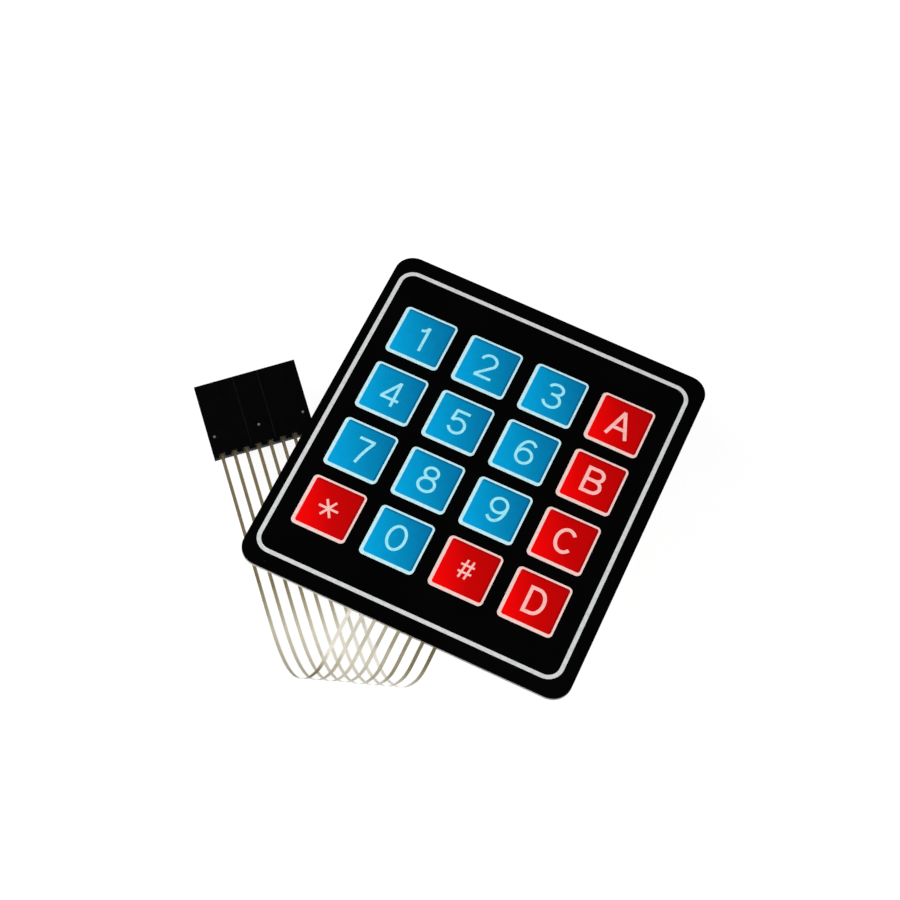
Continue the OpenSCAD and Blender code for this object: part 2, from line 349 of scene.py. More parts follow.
class Shader(Nodes):
    """A material with a Principled surface and short calls to add nodes to it."""

    def __init__(self, name: str, **values: object) -> None:
        """Makes the material.

        Args:
            name: Name of the material.
            values: Socket name, with _ for a space, to a constant.
        """
        self.material = bpy.data.materials.new(name)
        self.material.use_nodes = True
        super().__init__(self.material.node_tree)
        self.surface = self.tree.nodes["Principled BSDF"]
        for socket, value in values.items():
            self.surface.inputs[socket.replace("_", " ")].default_value = value

    def coordinates(self, kind: str = "Object", stretch: Triple = (1, 1, 1)) -> bpy.types.Node:
        """The node that gives a pattern its coordinates, Object or UV, scaled along each axis."""
        source = self.add("ShaderNodeTexCoord").outputs[kind]
        return self.add("ShaderNodeMapping", {"Vector": source, "Scale": stretch})

    def noise(self, size: float, detail: float = 3, stretch: Triple = (1, 1, 1)) -> Field:
        """Noise of about 0 to 1 over the object, in patches of a size in millimetres."""
        links = {"Vector": self.coordinates("Object", stretch), "Scale": 1 / (size * MM), "Detail": detail}
        return self.field(self.add("ShaderNodeTexNoise", links).outputs["Fac"])

    def ramp(self, value: Field, stops: tuple[float, ...], *colours: Colour) -> bpy.types.NodeSocket:
        """Colours along a number.

        Args:
            value: The number, 0 to 1.
            stops: The numbers at which the colours are reached.
            colours: The screen colours.

        Returns:
            The colour's socket.
        """
        node = self.add("ShaderNodeValToRGB", {"Fac": value})
        elements = node.color_ramp.elements
        while len(elements) < len(stops):
            elements.new(1.0)
        for element, stop, colour in zip(elements, stops, colours):
            element.position = stop
            element.color = linear(colour)
        return node.outputs["Color"]

    def mix(self, factor: Field, first: object, second: object) -> bpy.types.NodeSocket:
        """Mixes two colours: a factor of 0 gives the first, 1 the second."""
        # The node has its inputs for colours in places 6 and 7 and their result in place 2.
        return self.add("ShaderNodeMix", {0: factor, 6: first, 7: second}, data_type="RGBA").outputs[2]

    def paint(self, colour: bpy.types.NodeSocket) -> None:
        """Links the surface's colour."""
        self.feed(self.surface.inputs["Base Color"], colour)

    def rough(self, value: Field, span: Point) -> None:
        """Links the surface's roughness, over a span as the value goes from 0 to 1."""
        low, high = span
        self.feed(self.surface.inputs["Roughness"], value * (high - low) + low)

    def bump(self, height: Field, depth: float) -> None:
        """Links a bump from a relief of 0 to 1 and its depth in millimetres."""
        node = self.add("ShaderNodeBump", {"Height": height, "Distance": depth * MM})
        self.feed(self.surface.inputs["Normal"], node)


@dataclass(frozen=True)
class MottledFinish:
    """A surface in two tones that go over into each other in patches.

    Sizes are in millimetres. The roughness follows the patches, and a relief of 0 leaves the surface flat.
    """

    name: str
    light: Colour
    dull: Colour
    stops: Point = (0.3, 0.7)
    patch: float = 1.2
    detail: float = 4
    stretch: Triple = (1, 1, 1)
    roughness: Point = (0.3, 0.5)
    specular: float = 0.5
    metallic: float = 0
    grain: float = 0.2
    relief: float = 0

    def material(self) -> bpy.types.Material:
        """Builds the material."""
        shader = Shader(self.name, Specular_IOR_Level=self.specular, Metallic=self.metallic)
        patches = shader.noise(self.patch, self.detail, self.stretch)
        shader.paint(shader.ramp(patches, self.stops, self.dull, self.light))
        shader.rough(patches, self.roughness)
        if self.relief:
            shader.bump(shader.noise(self.grain, GRAIN_DETAIL), self.relief)
        return shader.material


@dataclass(frozen=True)
class WhiteInkFinish(MottledFinish):
    """White print: edges, legends and the border line."""

    stops: Point = (0.3, 0.65)
    patch: float = 0.9
    roughness: Point = (0.4, 0.55)
    specular: float = 0.3
    relief: float = 0.006


@dataclass(frozen=True)
class MouldedFinish(MottledFinish):
    """Moulded plastic with a fine spark-eroded grain: black, and in paler greys for the painted highlights on
    edges and pips.
    """

    stops: Point = (0.4, 0.8)
    patch: float = 2.5
    detail: float = 5
    roughness: Point = (0.55, 0.68)
    specular: float = 0.02
    grain: float = 0.16
    relief: float = 0.006


@dataclass(frozen=True)
class AdhesiveFinish(MottledFinish):
    """Edge of an adhesive sheet."""

    name: str = "adhesive_sheet"
    light: Colour = (196, 194, 188)
    dull: Colour = (158, 156, 150)


@dataclass(frozen=True)
class ContactFinish(MottledFinish):
    """Tin-plated sheet metal with rolling marks."""

    name: str = "contact_tin"
    light: Colour = (214, 210, 200)
    dull: Colour = (176, 170, 158)
    patch: float = 0.4
    stretch: Triple = (4, 1, 1)
    roughness: Point = (0.22, 0.42)
    metallic: float = 1


@dataclass(frozen=True)
class PaperFinish:
    """Coated release paper with faint fibres."""

    light: Colour = (240, 237, 228)
    dull: Colour = (226, 221, 208)
    stops: Point = (0.35, 0.65)
    patch: float = 9
    fibre_size: float = 0.7
    fibre_detail: float = 5
    fibre_stretch: Triple = (1, 0.25, 1)
    fibre_share: float = 0.6
    roughness: Point = (0.4, 0.6)
    specular: float = 0.4
    relief: float = 0.012

    def material(self) -> bpy.types.Material:
        """Builds the material."""
        shader = Shader("release_paper", Specular_IOR_Level=self.specular)
        fibre = shader.noise(self.fibre_size, self.fibre_detail, self.fibre_stretch)
        tone = fibre * self.fibre_share + shader.noise(self.patch) * (1 - self.fibre_share)
        shader.paint(shader.ramp(tone, self.stops, self.dull, self.light))
        shader.rough(fibre, self.roughness)
        shader.bump(fibre, self.relief)
        return shader.material


@dataclass(frozen=True)
class OverlayFinish:
    """Black printed polyester with a fine satin grain and a little dust."""

    colour: Colour = (2, 2, 3)
    worn: Colour = (4, 4, 5)
    stops: Point = (0.35, 0.75)
    patch: float = 14
    dust: Colour = (96, 96, 98)
    dust_spacing: float = 5.5
    dust_radius: float = 0.13
    clean_share: float = 0.75
    roughness: Point = (0.18, 0.25)
    specular: float = 0.12
    grain: float = 0.18
    relief: float = 0.003

    def material(self) -> bpy.types.Material:
        """Builds the material."""
        shader = Shader("overlay_film", Specular_IOR_Level=self.specular)
        cloud = shader.noise(self.patch)
        film = shader.ramp(cloud, self.stops, self.colour, self.worn)
        links = {"Vector": shader.coordinates(), "Scale": 1 / (self.dust_spacing * MM)}
        cells = shader.add("ShaderNodeTexVoronoi", links)
        near = shader.field(cells.outputs["Distance"])
        split = shader.add("ShaderNodeSeparateColor", {"Color": cells.outputs["Color"]})
        chosen = shader.field(split.outputs[0]).above(self.clean_share)
        size = shader.field(split.outputs[1]) * (self.dust_radius / self.dust_spacing)
        speck = (size - near).above(0.0) * chosen
        shader.paint(shader.mix(speck, film, linear(self.dust)))
        shader.rough(cloud, self.roughness)
        shader.bump(shader.noise(self.grain, GRAIN_DETAIL), self.relief)
        return shader.material


@dataclass(frozen=True)
class InkFinish:
    """Screen-printed ink with random mottling, and painted shade as if lit from the lower left: deeper
    towards the upper right of its field, with a dark rim on those two sides.
    """

    name: str
    bright: Colour
    middle: Colour
    deep: Colour
    # rim is the dark colour of the painted shade along the upper and right edges.
    rim: Colour
    stops: Triple = (0.1, 0.5, 0.95)
    across: float = 0.62
    upwards: float = 0.3
    lead: float = 0.07
    shade_rim_width: float = 0.05
    shade_rim_strength: float = 0.9
    patch: float = 1.6
    detail: float = 4
    mottling: float = 0.22
    roughness: Point = (0.26, 0.36)
    specular: float = 0.12
    grain: float = 0.22
    relief: float = 0.003

    def material(self) -> bpy.types.Material:
        """Builds the material."""
        shader = Shader(self.name, Specular_IOR_Level=self.specular)
        split = shader.add("ShaderNodeSeparateXYZ", {"Vector": shader.coordinates("UV")})
        u = shader.field(split.outputs[0])
        v = shader.field(split.outputs[1])
        mottle = shader.noise(self.patch, self.detail)
        # Painted shade: the tone deepens towards the upper right, with random mottling on top.
        shade_and_mottle = u * self.across + v * self.upwards + mottle * self.mottling - self.lead
        tone = shader.ramp(shade_and_mottle, self.stops, self.bright, self.middle, self.deep)
        # Painted shade: a dark rim inside the upper and right edges of the field.
        rim = ((u.at_least(v) - (1 - self.shade_rim_width)) / self.shade_rim_width).share()
        shader.paint(shader.mix(rim * self.shade_rim_strength, tone, linear(self.rim)))
        shader.rough(mottle, self.roughness)
        shader.bump(shader.noise(self.grain, GRAIN_DETAIL), self.relief)
        return shader.material


@dataclass(frozen=True)
class ClearFilmFinish:
    """Clear glossy polyester, so thin that it shows mostly by its gloss."""

    colour: Colour = (255, 253, 250)
    alpha: float = 0.06
    roughness: float = 0.16

    def material(self) -> bpy.types.Material:
        """Builds the material."""
        values = {"Base_Color": linear(self.colour), "Alpha": self.alpha, "Roughness": self.roughness}
        return Shader("clear_film", **values).material


@dataclass(frozen=True)
class ConductorFinish:
    """Printed conductor: brown, with painted light that makes it paler where the curled film shines: at the
    bottom of the loop, where the tail leaves the pad, where the film lies over itself and along the start of
    the return run.

    Places are distances from the start of the bend, in millimetres. A fade is 0 for brown, 1 for white.
    """

    stops: tuple[float, ...] = (0.0, 0.12, 0.35, 0.7, 1.0)
    tones: tuple[Colour, ...] = (
        (78, 64, 28), (100, 86, 42), (148, 140, 112), (210, 204, 188), (255, 254, 250),
    )
    loop_bottom: float = 15
    loop_reach: float = 5
    loop_spread: float = 8
    exit_fade: float = 0.78
    exit_end: float = 8
    exit_run: float = 6
    overlap_fade: float = 0.58
    overlap_start: float = -5
    overlap_run: float = 6
    return_fade: float = 0.5
    return_spread: float = 0.33
    return_end: float = 44
    return_run: float = 12
    run_fade: float = 0.12
    fleck: float = 0.5
    fleck_detail: float = 4
    fleck_fade: float = 0.1
    roughness: Point = (0.38, 0.6)
    specular: float = 0.08
    grain: float = 0.12
    relief: float = 0.004

    def fade(self, way: Field, across: Field) -> Field:
        """How pale the painted light makes a conductor at a place.

        Args:
            way: Distance from the start of the bend.
            across: Share of the tail's width, 0 at its left edge.

        Returns:
            The fade, 0 to 1.
        """
        # Painted light: a highlight across the loop's bottom, glare where the tail leaves the pad, the film's
        # haze where it lies over itself, and light along the return run.
        left = 1.0 - across
        returned = way.above(self.loop_bottom)
        half_loop = (1.0 - left * left) * self.loop_spread + self.loop_reach
        loop = 1.0 - abs(way - self.loop_bottom) / half_loop
        leaving = ((self.exit_end - way) / self.exit_run).share() * left * self.exit_fade
        laid_over = ((way - self.overlap_start) / self.overlap_run).share() * (1.0 - returned)
        # Across times left squared is 4/27 at its highest, a third of the way over.
        laid_over = laid_over * across * left * left * (27 / 4 * self.overlap_fade)
        back = ((self.return_end - way) / self.return_run).share() * returned
        back = (back * (across * self.return_spread + self.return_fade)).at_least(returned * self.run_fade)
        return loop.share().at_least(leaving).at_least(laid_over).at_least(back)

    def material(self) -> bpy.types.Material:
        """Builds the material from the places along and across the tail that the conductors carry."""
        shader = Shader("conductor_ink", Specular_IOR_Level=self.specular)
        way = shader.field(shader.add("ShaderNodeAttribute", attribute_name="way").outputs["Fac"])
        across = shader.field(shader.add("ShaderNodeAttribute", attribute_name="across").outputs["Fac"])
        grain = shader.noise(self.fleck, self.fleck_detail)
        fade = self.fade(way, across) + grain * self.fleck_fade - self.fleck_fade / 2
        shader.paint(shader.ramp(fade, self.stops, *self.tones))
        shader.rough(grain, self.roughness)
        shader.bump(shader.noise(self.grain, GRAIN_DETAIL), self.relief)
        return shader.material


@dataclass(frozen=True)
class Arc:
    """Part of an ellipse: its middle, its half sizes and the angles at its two ends, in degrees."""

    middle: Point
    half: Point
    start: float
    end: float
    step: float = 9

    def points(self) -> list[Point]:
        """Points along the arc."""
        count = math.ceil(abs(self.end - self.start) / self.step)
        angles = [math.radians(self.start + (self.end - self.start) * i / count) for i in range(count + 1)]
        return [(self.middle[0] + self.half[0] * math.cos(a), self.middle[1] + self.half[1] * math.sin(a))
                for a in angles]

    @property
    def closed(self) -> bool:
        """True if the arc is a whole ellipse."""
        return abs(self.end - self.start) >= 4 * QUARTER_TURN


Stroke = list["Point | Arc"]


@dataclass(frozen=True)
class Legend:
    """One sign on a key: the middle lines of its strokes, about the key's middle, and their width."""

    strokes: tuple[Stroke, ...]
    width: float

    def paths(self) -> list[tuple[list[Point], bool]]:
        """The strokes as lists of points, each with whether it closes on itself."""
        found = []
        for stroke in self.strokes:
            points: list[Point] = []
            for part in stroke:
                for point in part.points() if isinstance(part, Arc) else [part]:
                    if not points or math.dist(points[-1], point) > SAME_PLACE:
                        points.append(point)
            closed = len(stroke) == 1 and isinstance(stroke[0], Arc) and stroke[0].closed
            found.append((points[:-1] if closed else points, closed))
        return found


DIGIT_W = 0.6
LETTER_W = 0.73
STAR_W = 0.5
STAR_ARM = 2.05
STAR_MIDDLE = (-0.2, -0.1)
HASH_W = 0.44


def star_strokes() -> tuple[Stroke, ...]:
    """Three bars that cross, a sixth of a turn apart."""
    found = []
    for angle in (0, math.pi / 3, 2 * math.pi / 3):
        x, y = STAR_ARM * math.cos(angle), STAR_ARM * math.sin(angle)
        found.append([(STAR_MIDDLE[0] - x, STAR_MIDDLE[1] - y), (STAR_MIDDLE[0] + x, STAR_MIDDLE[1] + y)])
    return tuple(found)


STROKES: dict[str, tuple[Stroke, ...]] = {
    "1": ([(-0.85, 1.6), (-0.25, 1.72), (0.2, 2.05), (0.5, 2.6)], [(0.55, 2.8), (0.55, -3.05)]),
    "2": ([Arc((-0.1, 1.15), (1.6, 1.5), 172, -32), (-1.75, -2.45)], [(-1.95, -2.6), (1.75, -2.6)]),
    "3": (
        [Arc((0.05, 1.45), (1.5, 1.2), 165, -90), (-0.6, 0.25)],
        [(-0.4, 0.25), Arc((0.05, -1.25), (1.72, 1.5), 90, -165)],
    ),
    "4": ([(1.95, -1.35), (-2.0, -1.35)], [(-1.85, -1.35), (0.8, 2.7)], [(0.85, 2.9), (0.85, -2.95)]),
    "5": (
        [(1.55, 2.5), (-1.4, 2.5)],
        [(-1.2, 2.5), (-1.5, 0.1)],
        [Arc((-0.05, -0.85), (1.62, 1.65), 145, -160)],
    ),
    "6": ([Arc((0.05, -0.95), (1.62, 1.6), 0, 360)], [Arc((0.3, -0.4), (1.88, 3.05), 188, 48)]),
    "7": ([(-1.4, 2.5), (1.95, 2.5)], [(1.75, 2.45), (0.9, 0.5), (0.3, -1.3), (-0.1, -3.0)]),
    "8": ([Arc((0.0, 1.62), (1.36, 1.2), 0, 360)], [Arc((0.0, -1.1), (1.68, 1.5), 0, 360)]),
    "9": ([Arc((0.2, 1.25), (1.62, 1.6), 0, 360)], [Arc((-0.05, 0.7), (1.88, 3.05), 8, -132)]),
    "0": ([Arc((-0.3, 0.15), (1.75, 2.6), 0, 360)],),
    "A": ([(-2.05, -2.95), (0.1, 3.05)], [(2.2, -2.95), (0.0, 3.05)], [(-1.3, -0.95), (1.4, -0.95)]),
    "B": (
        [(-1.6, -2.75), (-1.6, 3.2)],
        [(-1.6, 2.83), (0.35, 2.83), Arc((0.35, 1.58), (1.35, 1.25), 90, -90), (-1.6, 0.33)],
        [(0.35, 0.33), Arc((0.35, -1.03), (1.5, 1.36), 90, -90), (-1.6, -2.39)],
    ),
    "C": ([Arc((0.15, 0.03), (1.85, 2.5), 40, 320)],),
    "D": (
        [(-1.6, -3.0), (-1.6, 2.92)],
        [(-1.6, 2.55), (-0.05, 2.55), Arc((-0.05, -0.04), (1.8, 2.59), 90, -90), (-1.6, -2.63)],
    ),
    "*": star_strokes(),
    "#": (
        [(-0.9, -1.95), (-0.35, 2.2)],
        [(0.3, -1.95), (0.85, 2.2)],
        [(-1.45, 0.95), (1.4, 0.95)],
        [(-1.5, -0.65), (1.35, -0.65)],
    ),
}
WIDTHS = {sign: DIGIT_W if sign.isdigit() else LETTER_W for sign in STROKES}
WIDTHS.update({"*": STAR_W, "#": HASH_W})
LEGENDS = {sign: Legend(strokes, WIDTHS[sign]) for sign, strokes in STROKES.items()}
LEGEND_ROWS = ("123A", "456B", "789C", "*0#D")
ZERO_COLUMN = LEGEND_ROWS[-1].index("0")


@dataclass
class PrintedFront:
    """The overlay with its key fields, their edges, the legends and the border line."""

    key_size: float = 11.56
    key_edge: float = 0.59
    key_corner: float = 1.0
    field_corner: float = 0.5
    colour_slip: float = 0.065
    column_pitch: float = 14.65
    row_pitch: float = 14.3
    print_shift: float = 0.6
    border_side: float = 2.26
    border_end: float = 3.25
    border_shift: float = 0.44
    border_line: float = 0.85
    border_corner: float = 3.4
    crown: float = 0.05
    legend_flatness: float = 0.06
    legend_sink: float = 0.012
    legend_step: float = 0.003
    corner_steps: int = 8
    rings: int = 10
    # The last colour of each ink is the dark rim of its painted shade.
    digit_ink: InkFinish = InkFinish("print_blue", (2, 157, 214), (2, 135, 184), (2, 108, 158), (1, 78, 122))
    sign_ink: InkFinish = InkFinish("print_red", (240, 3, 4), (195, 2, 3), (180, 2, 3), (132, 1, 2))
    digit_white: WhiteInkFinish = WhiteInkFinish("white_by_blue", (198, 234, 240), (176, 219, 227))
    digit_legend: WhiteInkFinish = WhiteInkFinish("legend_on_blue", (160, 232, 246), (138, 216, 235))
    sign_white: WhiteInkFinish = WhiteInkFinish("white_by_red", (241, 207, 201), (227, 190, 184))
    sign_legend: WhiteInkFinish = WhiteInkFinish("legend_on_red", (252, 192, 186), (240, 170, 164))
    border_white: WhiteInkFinish = WhiteInkFinish("white_border", (210, 213, 212), (190, 193, 192))

    @property
    def field_side(self) -> float:
        """Side of a key's field of ink, inside its white edge."""
        return self.key_size - 2 * self.key_edge

    def outline(self, w: float, h: float, r: float, shift: Point = (0, 0)) -> list[Point]:
        """Points round a rectangle with round corners, counter-clockwise.

        Args:
            w: Width.
            h: Height.
            r: Radius of the corners.
            shift: Where its middle lies.

        Returns:
            The points.
        """
        found: list[Point] = []
        for i, (sx, sy) in enumerate(((1, 1), (-1, 1), (-1, -1), (1, -1))):
            middle = (shift[0] + sx * (w / 2 - r), shift[1] + sy * (h / 2 - r))
            start = QUARTER_TURN * i
            step = QUARTER_TURN / self.corner_steps
            found += Arc(middle, (r, r), start, start + QUARTER_TURN, step).points()
        return found

    def ring(self, name: str, outer: list[Point], inner: list[Point]) -> bpy.types.Object:
        """A flat closed ring of white print between two outlines of equally many points.

        Args:
            name: Name of the object.
            outer: The outer outline.
            inner: The inner outline.

        Returns:
            The object.
        """
        low = level("white_print", False)
        high = level("white_print", True)
        shape = bmesh.new()
        section = ((outer, low), (outer, high), (inner, high), (inner, low))
        loops = [[shape.verts.new((x, y, z)) for x, y in points] for points, z in section]
        bridge(shape, loops + loops[:1])
        bmesh.ops.recalc_face_normals(shape, faces=shape.faces)
        return mesh_object(name, shape)

    def crowned_field(self, name: str, low: float, high: float) -> bpy.types.Object:
        """A key's field of ink, slightly higher in its middle, with a map of its face.

        Args:
            name: Name of the object.
            low: Height of the underside.
            high: Height of the upper side at its edge.

        Returns:
            The object.
        """
        side = self.field_side
        edge = self.outline(side, side, self.field_corner)
        shape = bmesh.new()
        faces_map = shape.loops.layers.uv.new("face")
        under = [shape.verts.new((x, y, low)) for x, y in edge]
        loops = [under]
        for k in range(self.rings):
            share = 1 - k / self.rings
            lift = high + self.crown * (1 - share ** 2)
            loops.append([shape.verts.new((x * share, y * share, lift)) for x, y in edge])
        bridge(shape, loops)
        top = shape.verts.new((0, 0, high + self.crown))
        last = loops[-1]
        for a, b in zip(last, last[1:] + last[:1]):
            shape.faces.new((a, b, top))
        shape.faces.new(list(reversed(under)))
        for face in shape.faces:
            for loop in face.loops:
                loop[faces_map].uv = (loop.vert.co.x / side + 0.5, loop.vert.co.y / side + 0.5)
        bmesh.ops.translate(shape, verts=shape.verts, vec=(self.colour_slip, self.colour_slip, 0))
        return mesh_object(name, shape)

    def key_recipe(self) -> GeometryRecipe:
        """The tree that sets one tile on every key of a kind."""
        recipe = GeometryRecipe("key_places")
        across = recipe.number("Column pitch")
        up = recipe.number("Row pitch")
        shift = recipe.number("Print shift")
        kind = recipe.number("Kind")
        steps = KEYS - 1.0
        sizes = {"Size X": across * steps, "Size Y": up * steps, "Vertices X": KEYS, "Vertices Y": KEYS}
        grid = recipe.add("GeometryNodeMeshGrid", sizes)
        x, y, _ = recipe.position()
        # Signs fill the last column, and the last row apart from its 0.
        last_column = x.above(across)
        last_row = (y * -1.0).above(up)
        off_zero = abs(x / across + (MIDDLE_KEY - ZERO_COLUMN)).above(NEAR)
        sign = last_column.at_least(last_row.at_most(off_zero))
        same = abs(sign - kind).below(NEAR)
        links = {"Points": grid, "Selection": same, "Instance": recipe.geometry}
        keys = recipe.add("GeometryNodeInstanceOnPoints", links)
        offset = recipe.add("ShaderNodeCombineXYZ", {"X": shift * -1.0})
        recipe.close(recipe.add("GeometryNodeTransform", {"Geometry": keys, "Translation": offset}))
        return recipe

    def legend_recipe(self) -> GeometryRecipe:
        """The tree that gives the legends' middle lines their width and thickness."""
        recipe = GeometryRecipe("legend_strokes")
        flatness = recipe.number("Flatness")
        level_curve = recipe.add("GeometryNodeSetCurveNormal", {"Curve": recipe.geometry}, mode="Z_UP")
        width = recipe.add("GeometryNodeInputRadius")
        section = recipe.add("GeometryNodeCurvePrimitiveQuadrilateral", {"Width": 1.0, "Height": flatness})
        links = {"Curve": level_curve, "Profile Curve": section, "Scale": width, "Fill Caps": True}
        recipe.close(recipe.add("GeometryNodeCurveToMesh", links))
        return recipe

    def key_middle(self, row: int, column: int) -> Point:
        """Middle of a key."""
        x = (column - MIDDLE_KEY) * self.column_pitch - self.print_shift
        return x, (MIDDLE_KEY - row) * self.row_pitch

    def dress_keys(self, kind: KeyKind, ink: InkFinish, white: WhiteInkFinish, node: str) -> None:
        """Makes the fields and edges of one kind of key.

        Args:
            kind: Which keys.
            ink: Finish of their fields.
            white: Finish of their edges.
            node: CAD node of the fields.
        """
        pitch = {"Column_pitch": self.column_pitch * MM, "Row_pitch": self.row_pitch * MM}
        pitch.update(Print_shift=self.print_shift * MM, Kind=float(kind.value))
        recipe = self.key_recipe()
        name = kind.name.lower()
        field = self.crowned_field(f"{name}_fields", level(node, False), level(node, True))
        fields = recipe.run(field, Material=ink.material(), **pitch)
        smooth(fields)
        hand_in(fields, ink.name, node)
        slip = self.colour_slip
        outer = self.outline(self.key_size, self.key_size, self.key_corner, (-slip, -slip))
        inner = self.outline(self.field_side, self.field_side, self.field_corner, (slip, slip))
        edge = self.ring(f"{name}_edges", outer, inner)
        hand_in(recipe.run(edge, Material=white.material(), **pitch), "print_white")

    def dress_legends(self, kind: KeyKind, white: WhiteInkFinish, node: str) -> None:
        """Makes the legends of one kind of key.

        Args:
            kind: Which keys.
            white: Finish of the legends.
            node: CAD node of the keys' fields.
        """
        name = f"{kind.name.lower()}_legends"
        base = level(node, True) + self.crown - self.legend_sink
        curve = bpy.data.curves.new(name, "CURVE")
        curve.dimensions = "3D"
        for row, signs in enumerate(LEGEND_ROWS):
            for column, sign in enumerate(signs):
                if sign.isdigit() != (kind is KeyKind.DIGIT):
                    continue
                x0, y0 = self.key_middle(row, column)
                for order, (points, closed) in enumerate(LEGENDS[sign].paths()):
                    z = base + order * self.legend_step
                    spline = curve.splines.new("POLY")
                    spline.points.add(len(points) - 1)
                    spline.use_cyclic_u = closed
                    for target, (x, y) in zip(spline.points, points):
                        target.co = ((x0 + x) * MM, (y0 + y) * MM, z * MM, 1)
                        target.radius = LEGENDS[sign].width * MM
        recipe = self.legend_recipe()
        legends = recipe.run(place(name, curve), Material=white.material(), Flatness=self.legend_flatness)
        legends.data.shade_flat()
        hand_in(legends, "print_white")

    def dress_border(self) -> None:
        """Makes the line round the keys."""
        w = PAD_W - 2 * self.border_side
        h = PAD_H - 2 * self.border_end
        line = self.border_line
        middle = (-self.border_shift, 0)
        outer = self.outline(w, h, self.border_corner, middle)
        inner = self.outline(w - 2 * line, h - 2 * line, self.border_corner - line, middle)
        ring = self.ring("border_line", outer, inner)
        ring.data.materials.append(self.border_white.material())
        hand_in(ring, "print_white", "white_print")

    def build(self) -> None:
        """Makes and dresses the whole front."""
        dress_node("graphic_overlay", OverlayFinish().material())
        self.dress_keys(KeyKind.DIGIT, self.digit_ink, self.digit_white, "blue_print")
        self.dress_legends(KeyKind.DIGIT, self.digit_legend, "blue_print")
        self.dress_keys(KeyKind.SIGN, self.sign_ink, self.sign_white, "red_print")
        self.dress_legends(KeyKind.SIGN, self.sign_legend, "red_print")
        self.dress_border()


@dataclass(frozen=True)
class Fold:
    """How the tail bends: two rolls in turn about lines that lie aslant across it."""

    slant: float = 21.3
    first_r: float = 4.8
    first_turn: float = 83
    second_r: float = 15
    second_turn: float = 112
    neutral: float = 0.39
    beyond: float = 1e-6

    def values(self) -> dict[str, float]:
        """The tree's inputs by name, in metres and radians."""
        angle = math.radians(self.slant)
        start = TAIL_RIGHT * math.sin(angle) + PAD_H / 2 * math.cos(angle)
        return {
            "Pad_edge": -PAD_H / 2 * MM,
            "Start": start * MM,
            "Slant": angle,
            "First_radius": self.first_r * MM,
            "First_turn": math.radians(self.first_turn),
            "Second_radius": self.second_r * MM,
            "Second_turn": math.radians(self.second_turn),
            "Neutral_level": self.neutral * MM,
        }

    def inputs(self, recipe: GeometryRecipe) -> dict[str, Field]:
        """Adds the bend's named inputs to a tree, and gives each one's number by its name."""
        return {name: recipe.number(name.replace("_", " ")) for name in self.values()}

    def way(self, recipe: GeometryRecipe, sizes: dict[str, Field]) -> Field:
        """How far a flat point lies beyond the start of the bend, in metres, from the bend's inputs."""
        x, y, _ = recipe.position()
        return x * sizes["Slant"].sin() - y * sizes["Slant"].cos() - sizes["Start"]

    def bend(self, recipe: GeometryRecipe, geometry: object, sizes: dict[str, Field]) -> bpy.types.Node:
        """Adds the nodes that bend whatever lies beyond the pad's lower edge.

        Args:
            recipe: The tree.
            geometry: The node or socket that gives the flat geometry.
            sizes: The bend's inputs.

        Returns:
            The node that gives the bent geometry.
        """
        edge, start, slant, r1, t1, r2, t2, neutral = sizes.values()
        x, y, z = recipe.position()
        along = x * slant.cos() + y * slant.sin()
        way = self.way(recipe, sizes)
        turned = way.at_least(0.0).at_most(r1 * t1) / r1
        later = (way - r1 * t1).at_least(0.0).at_most(r2 * t2) / r2
        last = (way - r1 * t1 - r2 * t2).at_least(0.0)
        heading = turned + later
        reach = way.at_most(0.0) + r1 * turned.sin()
        reach = reach + r2 * ((t1 + later).sin() - t1.sin()) + last * (t1 + t2).cos()
        sink = r1 - r1 * turned.cos() + r2 * (t1.cos() - (t1 + later).cos()) + last * (t1 + t2).sin()
        height = z - neutral
        out = start + reach + height * heading.sin()
        spot = recipe.add("ShaderNodeCombineXYZ", {
            "X": along * slant.cos() + out * slant.sin(),
            "Y": along * slant.sin() - out * slant.cos(),
            "Z": neutral - sink + height * heading.cos(),
        })
        links = {"Geometry": geometry, "Selection": (edge - y).above(self.beyond), "Position": spot}
        return recipe.add("GeometryNodeSetPosition", links)


